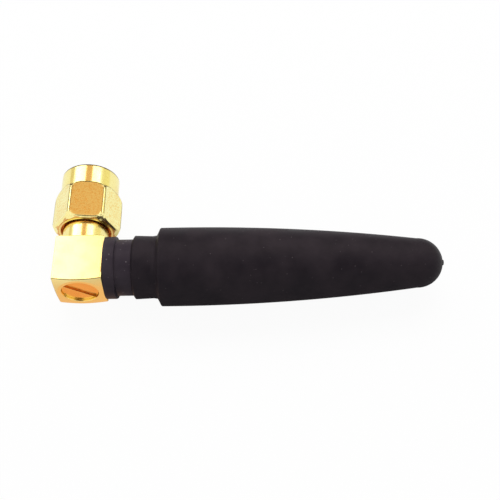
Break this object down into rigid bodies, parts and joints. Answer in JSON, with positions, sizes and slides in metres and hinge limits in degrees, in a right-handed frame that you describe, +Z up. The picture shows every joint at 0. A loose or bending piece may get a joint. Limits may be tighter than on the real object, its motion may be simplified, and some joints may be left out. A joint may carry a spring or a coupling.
{
  "type": "stubby wifi antenna with a right-angle coaxial plug",
  "caption": "Short black rubber wifi whip set at a right angle on a gold-plated screw-on coaxial plug with a free-turning hexagonal coupling nut.",
  "frame": {"origin": "centre of the plug's reference plane, the end face of its outer contact, on the plug's axis", "axes": "+Y out of the plug along its axis, +X along the whip from the elbow to the tip, +Z up as the antenna lies"},
  "size_m": [0.0521, 0.0195, 0.0104],
  "materials": {
    "gold_plate": "polished gold plating on turned brass",
    "bare_brass": "bare turned brass",
    "spring_bronze": "drawn copper-coloured spring wire",
    "plated_copper": "silver-plated copper wire",
    "white_insulator": "machined fluoropolymer, waxy white",
    "gasket_rubber": "moulded silicone rubber",
    "brown_jacket": "smooth translucent jacket",
    "natural_plastic": "natural moulded plastic",
    "black_sleeve": "heat-shrunk tube",
    "black_plastic": "satin moulded plastic",
    "black_rubber": "satin moulded rubber, very slightly speckled"
  },
  "bodies": {
    "antenna": {"elbow_body": "gold_plate", "access_cap": "gold_plate", "plug_barrel": "gold_plate", "centre_contact": "gold_plate", "retaining_ring": "spring_bronze", "sealing_gasket": "gasket_rubber", "front_insulator": "white_insulator", "rear_insulator": "white_insulator", "tail_spigot": "bare_brass", "crimp_ferrule": "bare_brass", "feed_conductor": "plated_copper", "feed_dielectric": "white_insulator", "feed_braid": "plated_copper", "feed_jacket": "brown_jacket", "coil_terminal": "bare_brass", "helical_radiator": "spring_bronze", "coil_former": "natural_plastic", "coil_sleeve": "black_sleeve", "base_boot": "black_plastic", "rubber_sheath": "black_rubber"},
    "nut": {"coupling_nut": "gold_plate"}
  },
  "joints": [
    {"name": "nut_spin", "type": "hinge", "parent": "antenna", "child": "nut", "pos_m": [0, 0, 0], "axis": [0, 1, 0], "continuous": true}
  ]
}
